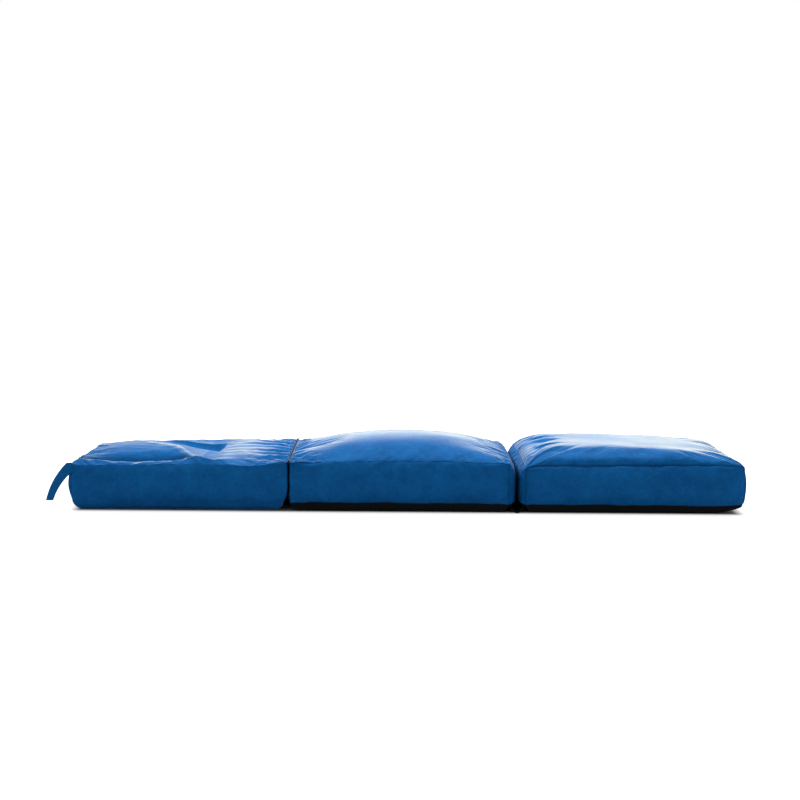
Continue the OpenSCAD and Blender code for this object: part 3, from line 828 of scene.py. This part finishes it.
def painted_seam_shade(part, face, beside, points):
    """How much painted shade darkens the cloth, by grid steps from a seam and, on an end that
    faces another section, by how close it comes to it. The back's cloth has this painted
    shade at no seam but its hinge, and where the dome meets the front roll; by the lower
    hinge, the painted seam shade is softer."""
    steps, shades, softness = [0, 1], [0.6, 0], 0.35
    if face == "top":
        steps, shades, softness = [0, 1, 2], [0.62, 0.15, 0], 0.95
    dark = np.interp(beside, steps, shades)
    gaps = [np.abs(points[..., 0] - end) for end in (part.x0, part.x1)]
    soft = sum(near(gap, 0.03) * (end == "knee_end") for gap, end in zip(gaps, part.ends))
    dark = dark * (1 - softness * np.clip(soft, 0, 1))
    if part is back:
        dark = dark * near(gaps[1], 0.04)
        if face == "top":
            ahead, _ = slack_lines(points[..., 0], points[..., 1])
            # Painted shade in the groove where the back's dome meets its front roll.
            foot_line = near(np.abs(points[..., 1] + half_w - 0.125), 0.085)
            dark = np.maximum(dark, 0.6 * foot_line * until(0.03 - ahead, 0.07))
    # Painted shade on an end, the closer it comes to the section beside it the darker.
    if face.endswith("end") and part.ends[face == "high_end"] != "free_end":
        high = face == "high_end"
        out = (points[..., 0] - (part.x1 if high else part.x0)) * (1 if high else -1)
        depth, reach = (0.0265, 0.010) if part.ends[high] == "knee_end" else (-0.002, 0.012)
        dark = np.maximum(dark, 0.9 * until(depth - out, reach))
    return dark


def laid_nap(part, face, points):
    """How far the pile is dimmed to a darker copy without its pale sheen, as painted shade: on
    the ends that face another section, and on the tops close to the lower hinge. On the back's
    top it is the dome before the slanting fold, most towards its foot, the wall that drops from
    the second fold, and in part the pocket's floor and the open cloth by the hinge."""
    x, y = points[..., 0], points[..., 1]
    if face.endswith("end"):
        return 0.85 * (part.ends[face == "high_end"] != "free_end") + 0 * x
    if part is not back or face != "top":
        knee = part.x1 if part is seat else part.x0
        return 0.6 * near(np.abs(x - knee), 0.05) * (part is not back)
    ahead, second = slack_lines(x, y)
    from_front, from_left = y + half_w, x - part.x0
    on_dome = until(0.030 - ahead, 0.030) * np.clip((from_front - 0.045) / 0.02, 0, 1)
    on_dome = on_dome * (0.70 + 0.3 * until(from_front - 0.24, 0.36))
    on_dome = on_dome * (0.5 + 0.5 * np.clip(from_left / 0.12, 0, 1))
    wall = near(np.abs(second - 0.036 - y), 0.056) * (ahead < 0)
    wall = wall * np.clip((x + 1.14) / 0.1, 0, 1) * until(x + 0.76, 0.03)
    past_fold = ahead < -0.012
    pocket = 0.62 * past_fold * (1 - until(x + 0.84, 0.12)) * until(x + 0.9, 0.16)
    open_part = 0.62 * past_fold * until(x + 0.80, 0.14) + 0.22 * (x > -0.80)
    return np.clip(on_dome + 0.85 * wall + np.maximum(pocket, open_part), 0, 1)


def mark(piece, name, shares):
    """Keeps a number for each point of a piece, which its material reads by that name."""
    piece.data.attributes.new(name, "FLOAT", "POINT").data.foreach_set("value", shares.ravel())


def thicken(cloth, thickness):
    """Gives a sheet its thickness, on the inner side of its face."""
    thick = cloth.modifiers.new("thick", "SOLIDIFY")
    thick.thickness, thick.offset = thickness, -1


def crisp_rim(cloth):
    """Marks the cloth's free edges as sharp, so that its face keeps its own shading there."""
    loops, edges = len(cloth.data.loops), len(cloth.data.edges)
    used = np.zeros(loops, dtype=np.int32)
    cloth.data.loops.foreach_get("edge_index", used)
    sharp = cloth.data.attributes.new("sharp_edge", "BOOLEAN", "EDGE")
    sharp.data.foreach_set("value", np.bincount(used, minlength=edges) == 1)


def drop_loose(cloth):
    """Removes the points that no face of the cloth uses."""
    shape = bmesh.new()
    shape.from_mesh(cloth.data)
    loose = [point for point in shape.verts if not point.link_faces]
    bmesh.ops.delete(shape, geom=loose, context="VERTS")
    shape.to_mesh(cloth.data)
    shape.free()


def sew_cover(part):
    """Makes a section's six panels as pieces of cloth with a thickness. The cloth is
    settled on a coarser grid, and its moves are carried over to the finer one."""
    rough, fine = (spread(91), spread(67), spread(17)), (spread(181), spread(141), spread(31))
    moves = dict.fromkeys(six_faces(*fine), 0)
    moves = settle(
        part,
        {
            face: (cover_point(part, face, u, v, w), turn, slack_share(part, face, u, v))
            for face, (u, v, w, turn) in six_faces(*rough).items()
        },
    )
    ways = [finer(*pair) for pair in zip(rough, fine)]
    for face, (u, v, w, turn) in six_faces(*fine).items():
        points = cover_point(part, face, u, v, w)
        rows, columns = {"t": (0, 1), "b": (0, 1), "f": (0, 2), "r": (0, 2)}.get(face[0], (1, 2))
        if not np.isscalar(moves[face]):
            carried = ways[rows], ways[columns], moves[face]
            points += np.einsum("ia,jb,abk->ijk", *carried, optimize=True)
        kept = slice(None)
        if face == "rear":
            points, kept = open_slot(part, points)
        label = dict(zip(("low_end", "high_end"), part.ends)).get(face, face)
        node = f"{part.name}_{label}_panel"
        faces = [quads(*points.shape[:2], turn)[kept]]
        cloth = mesh_piece(f"{node}_cloth", points.reshape(-1, 3), faces)
        edge = [np.minimum(np.arange(n), np.arange(n)[::-1]) for n in points.shape[:2]]
        beside = np.minimum(edge[0][:, None], edge[1][None, :])
        # Painted shade by the seams and in the gaps between sections.
        mark(cloth, "seam", painted_seam_shade(part, face, beside, points))
        # Painted shade that dims the pile and takes away its sheen.
        mark(cloth, "laid", laid_nap(part, face, points))
        if face == "rear":
            drop_loose(cloth)
        crisp_rim(cloth)
        thicken(cloth, cover_t)
        black = face == "base" and part is not back
        wear(cloth, black_cloth if black else suede)
        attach(cloth, part.name)
        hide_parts(node)


for part in (back, seat, foot):
    sew_cover(part)


# The zips. One lies along each rear panel, so that the cover comes off: two
# woven tapes stitched behind a slot in the cloth, each with a nylon coil whose
# turns mesh with the other's, moulded stops, a cast slider and its puller.
def capped(rings):
    """Tubes as an array (tube, ring, side, xyz): quads from ring to ring, and a flat face
    at each end. The sides run anticlockwise as seen from the last ring's end."""
    count, stack, sides, _ = rings.shape
    side = np.arange(sides)
    after = (side + 1) % sides
    tube = np.arange(count)[:, None] * stack * sides
    first = tube[:, :, None] + np.arange(stack - 1)[:, None] * sides
    wall = np.stack([first + side, first + after, first + sides + after, first + sides + side], -1)
    ends = [tube + side[::-1], tube + (stack - 1) * sides + side]
    return rings.reshape(-1, 3), [wall.reshape(-1, 4), *ends]


def unit(a):
    """Vectors at their length of one."""
    return a / np.linalg.norm(a, axis=-1, keepdims=True)


def around(sides, across, over):
    """Directions round a line at even angles: cos(a) across + sin(a) over."""
    angle = (np.arange(sides) * 2 * np.pi / sides)[:, None]
    return np.cos(angle) * across[:, None] + np.sin(angle) * over[:, None]


def stitches(places, runs, outward, long=0.0025, thick=0.00032):
    """Sewing thread: at each place a low six-sided bead along its run, half sunk in the
    cloth, of radius shares (0.35, 1, 1, 0.35) at (-1, -0.6, 0.6, 1) of its half length."""
    places, runs, outward = (np.broadcast_to(a, np.shape(places)) for a in (places, runs, outward))
    at = long / 2 * np.array([-1, -0.6, 0.6, 1])[:, None, None]
    radius = thick * np.array([0.35, 1, 1, 0.35])[:, None, None]
    ring = around(6, np.cross(outward, runs), outward)
    return capped(places[:, None, None] + at * runs[:, None, None] + radius * ring[:, None])


thread, pen, spot = blank_material("blue_thread")
twist = noise(pen, spot, 1500.0, 1.0)
colour = mixed(pen, twist, (0.004, 0.060, 0.180), (0.012, 0.110, 0.300))
plies = {"Normal": bump(pen, 0.5, 0.0002, twist)}
show(pen, principled(pen, colour, 0.6 + 0.1 * twist, others=plies))

tape_cloth, pen, spot = blank_material("woven_zip_tape")
warp, weft = (
    pen.math("SINE", pen.make("ShaderNodeSeparateXYZ", sockets={0: spot}, out=axis) * turns)
    for axis, turns in ((0, 2 * math.pi / 0.0009), (2, 2 * math.pi / 0.0012))
)
woven = warp * weft * 0.5 + 0.5
colour = mixed(pen, woven, (0.006, 0.022, 0.055), (0.014, 0.050, 0.120))
ribbed = {"Normal": bump(pen, 0.7, 0.0003, woven)}
show(pen, principled(pen, colour, 0.85 - 0.1 * woven, 0.3, ribbed))

coil_nylon, pen, spot = blank_material("zip_coil_nylon")
scuff = noise(pen, spot, 400.0, 3.0)
colour = mixed(pen, scuff, (0.008, 0.028, 0.070), (0.018, 0.060, 0.140))
show(pen, principled(pen, colour, 0.28 + 0.25 * scuff))

nickel, pen, spot = blank_material("nickel_grey_enamel")
wear_marks = noise(pen, spot, 500.0, 5.0)
colour = mixed(pen, wear_marks, (0.34, 0.35, 0.38), (0.52, 0.53, 0.55))
cast = {"Metallic": 0.85, "Normal": bump(pen, 0.25, 0.0002, wear_marks)}
show(pen, principled(pen, colour, 0.26 + 0.22 * wear_marks, others=cast))

tape_t, slit_half, coil_w, coil_h = 0.0008, 0.0008, 0.0018, 0.0016
turns, per_turn, wire = 345, 8, 0.00028
coil_end, coil_middle, coil_swing = 0.0045, 0.0014, 0.0009
stop_half, stop_h, stop_edge = 0.002, 0.003, 0.0005
stitch_pitch, stitch_in = 0.0032, 0.0025
for part in (back, seat, foot):
    middle = place_zip(part)
    for label, side in (("upper", 1), ("lower", -1)):
        low, high = (Vector(corner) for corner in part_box(f"{part.name}_zip_{label}_tape"))
        low.y, high.y = zip_y - tape_t, zip_y
        points, faces, _ = welded(block_grids(low, high, tape_t * 0.45, (141, 5, 17)))
        tape = mesh_piece(f"{part.name}_zip_{label}_tape_cloth", points, faces)
        wear(tape, tape_cloth)
        half_l = (high.x - low.x) / 2
        t = np.arange(turns * per_turn + 1) / per_turn + (0.5 if side > 0 else 0)
        spin = 2 * np.pi * t
        path = np.stack(
            [
                (t / (turns + 1) * 2 - 1) * (half_l - coil_end),
                coil_h / 2 + (coil_h / 2 - wire) * np.sin(spin),
                side * (coil_middle + coil_swing * np.cos(spin)),
            ],
            -1,
        )
        run = unit(np.gradient(path, axis=0))
        over = unit(np.cross(run, [1.0, 0, 0]))
        ring = around(4, np.cross(over, run), over)
        points, faces = capped((middle + path[:, None] + wire * ring)[None])
        coil = mesh_piece(f"{part.name}_zip_{label}_coil", points, faces)
        stops, walls = [], []
        bottom, top = sorted((side * slit_half, side * (slit_half + coil_w)))
        for end in (-1, 1):
            at = middle[0] + end * (half_l - stop_half)
            low_stop = (at - stop_half, zip_y, middle[2] + bottom)
            high_stop = (at + stop_half, zip_y + stop_h, middle[2] + top)
            block, rows, _ = welded(block_grids(low_stop, high_stop, stop_edge, (7, 7, 5)))
            walls += [row + sum(map(len, stops)) for row in rows]
            stops.append(block)
        stop = mesh_piece(f"{part.name}_zip_{label}_stops", np.concatenate(stops), walls)
        for piece in (tape, coil, stop):
            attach(piece, part.name)
        for piece in (coil, stop):
            wear(piece, coil_nylon)
        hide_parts(f"{part.name}_zip_{label}_tape")
    xs = np.arange(-slot_x, slot_x, stitch_pitch)
    rows = [
        np.stack([xs, 0 * xs, side * (slot_z + stitch_in) + 0 * xs], -1) for side in (1, -1)
    ]
    places = np.concatenate(rows) + middle + [0, cover_t + backing_gap, 0]
    along, outward = np.array([1.0, 0, 0]), np.array([0, 1.0, 0])
    sewing = mesh_piece(f"{part.name}_zip_stitching", *stitches(places, along, outward))
    wear(sewing, thread)
    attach(sewing, part.name)
    for node in (f"{part.name}_zip_slider", f"{part.name}_zip_puller"):
        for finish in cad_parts[node].material_slots:
            finish.material = nickel


# The upper hinge. The tops of the back and the seat are sewn to each other
# through a round welt of the same suede, sunk between their two ends.
low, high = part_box("upper_hinge_welt")
middle, radius = (low + high) / 2, (high.x - low.x) / 2
along = np.linspace(low.y + 0.0005, high.y - 0.0005, 261)[:, None]
angle = np.linspace(0, 2 * np.pi, 33)[:-1][None, :]
groove = bell(((angle + np.pi) % (2 * np.pi) - np.pi) / 0.30)
none = 0 * (along + angle)
line = np.stack([middle.x + none, along + none, middle.z + none], -1)
outward = np.stack([np.sin(angle) + none, none, np.cos(angle) + none], -1)
pucker = ripple(line + 0.01 * outward, 0.016, 71)
size = radius * (0.985 - 0.22 * groove - 0.02 * np.abs(pucker))
points, faces = capped((line + outward * size[..., None])[None])
welt = mesh_piece("upper_hinge_cord", points, faces)
# Painted shade darkens the whole welt, most in the crease along its top.
mark(welt, "seam", np.clip(0.62 + 0.9 * groove + none, 0, 1))
wear(welt, suede)
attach(welt, "seat")
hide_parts("upper_hinge_welt")


# The lower hinge. The black base cloth runs on from the seat's base seam to
# the foot's, in one slack strip that lets the foot fold under the seat.
low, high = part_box("lower_hinge_strip")
strip_t, strip_lift, strip_gap = 0.0018, 0.0020, 0.0003
share, across = np.meshgrid(np.linspace(0, 1, 19), np.linspace(-1, 1, 101), indexing="ij")
bow = 0.008 * (1 - across**2)
start, end = seat.x1 + bow + strip_gap, foot.x0 + bow - strip_gap
height = low.z + (high.z - strip_lift - low.z) * (2 * share - 1) ** 2
points = np.stack([start + (end - start) * share, across * (half_w - 0.0005), height], -1)
points[..., 2] += strip_lift + 0.0006 * np.abs(ripple(points, 0.05, 81)) * np.sin(np.pi * share)
strip = mesh_piece("lower_hinge_cloth", points.reshape(-1, 3), [quads(*share.shape)])
thicken(strip, strip_t)
wear(strip, black_cloth)
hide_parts("lower_hinge_strip")
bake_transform(strip)


# The straps. A folded ribbon of suede, stitched along both edges, is sewn into
# each upright corner seam of the back's free end and droops from it, the rear
# one beside the rear panel; the tips are cut a little on the slant.
strap_t, strap_root, strap_tip, strap_l = 0.0026, 0.042, 0.031, 0.155
lean_start, lean_end = math.radians(42), math.radians(74)
bend_r = strap_l / (lean_end - lean_start)
inner_end, seam_gap, tip_slant = 0.14, 0.00127, 0.012


def strap_surface(t, s):
    """The middle surface of the front strap at shares t of its length and s of its half
    width: an even bend, whose lean grows from 42 to 74 degrees, with a slow wave along it,
    tilted so that its upper edge lies further in and runs on by tip_slant. Its root, from
    t = -inner_end to 0, runs level and turns in to the seam."""
    inner, t = np.clip(-t, 0, None), np.clip(t, 0, None)
    lean = lean_start + (lean_end - lean_start) * t
    half = (strap_root + (strap_tip - strap_root) * t) / 2
    x = bend_r * (math.sin(lean_start) - np.sin(lean)) - s * half * np.sin(lean)
    z = bend_r * (np.cos(lean) - math.cos(lean_start)) + s * half * np.cos(lean)
    longer = tip_slant / 2 * (s + 1) * np.clip((t - 0.8) / 0.2, 0, 1) ** 2
    x, z = x - longer * math.cos(lean_end), z - longer * math.sin(lean_end)
    y = 0.0015 * np.sin(5 * t) * t + 0.008 * s * np.clip(t / 0.3, 0, 1)
    y = y + 0.012 * bell((t - inner + inner_end) / 0.12)
    return np.stack([x + strap_l * inner, y, z], -1)


for label, side, root_z, degrees in (("front", -1, 0.176, 0), ("rear", 1, 0.153, -155)):
    root = np.array([back.x0 - seam_gap, side * (half_w + seam_gap), root_z])
    cos, sin = math.cos(math.radians(degrees)), math.sin(math.radians(degrees))
    placed = np.array([[cos, sin, 0], [side * sin, -side * cos, 0], [0, 0, 1]])
    lengthwise = np.linspace(-inner_end, 1, 67)
    t, angle = np.meshgrid(lengthwise, np.arange(28) * 2 * np.pi / 28, indexing="ij")
    s = np.sign(np.cos(angle)) * np.abs(np.cos(angle)) ** 0.7
    hem, sunk = bell((np.abs(s) - 0.9) / 0.09), bell((np.abs(s) - 0.72) / 0.06)
    body = (1 - np.abs(s) ** 14) ** 0.5 * (1 + 0.25 * hem - 0.35 * sunk)
    surface = strap_surface(t, s)
    surface[..., 1] += np.sign(np.sin(angle)) * body * strap_t / 2
    surface[..., 1] += 0.0003 * ripple(surface, 0.02, 91)
    if side > 0:
        surface = surface[:, ::-1]
    points, faces = capped((root + surface @ placed)[None])
    ribbon = mesh_piece(f"{label}_strap_ribbon", points, faces)
    ts = np.arange(0.03, 0.975, stitch_pitch / strap_l)
    sewn, runs, outward = [], [], []
    for edge in (-0.72, 0.72):
        for out in (-1, 1):
            line = strap_surface(ts, edge + 0 * ts)
            runs.append(unit(np.gradient(line, axis=0)) @ placed)
            line[:, 1] += out * strap_t / 2 * 0.70
            sewn.append(root + line @ placed)
            outward.append(np.broadcast_to(np.array([0.0, out, 0]) @ placed, line.shape))
    rows = (np.concatenate(row) for row in (sewn, runs, outward))
    sewing = mesh_piece(f"{label}_strap_stitching", *stitches(*rows))
    wear(ribbon, suede)
    wear(sewing, thread)
    for piece in (ribbon, sewing):
        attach(piece, f"{label}_strap")
    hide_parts(f"{label}_strap")
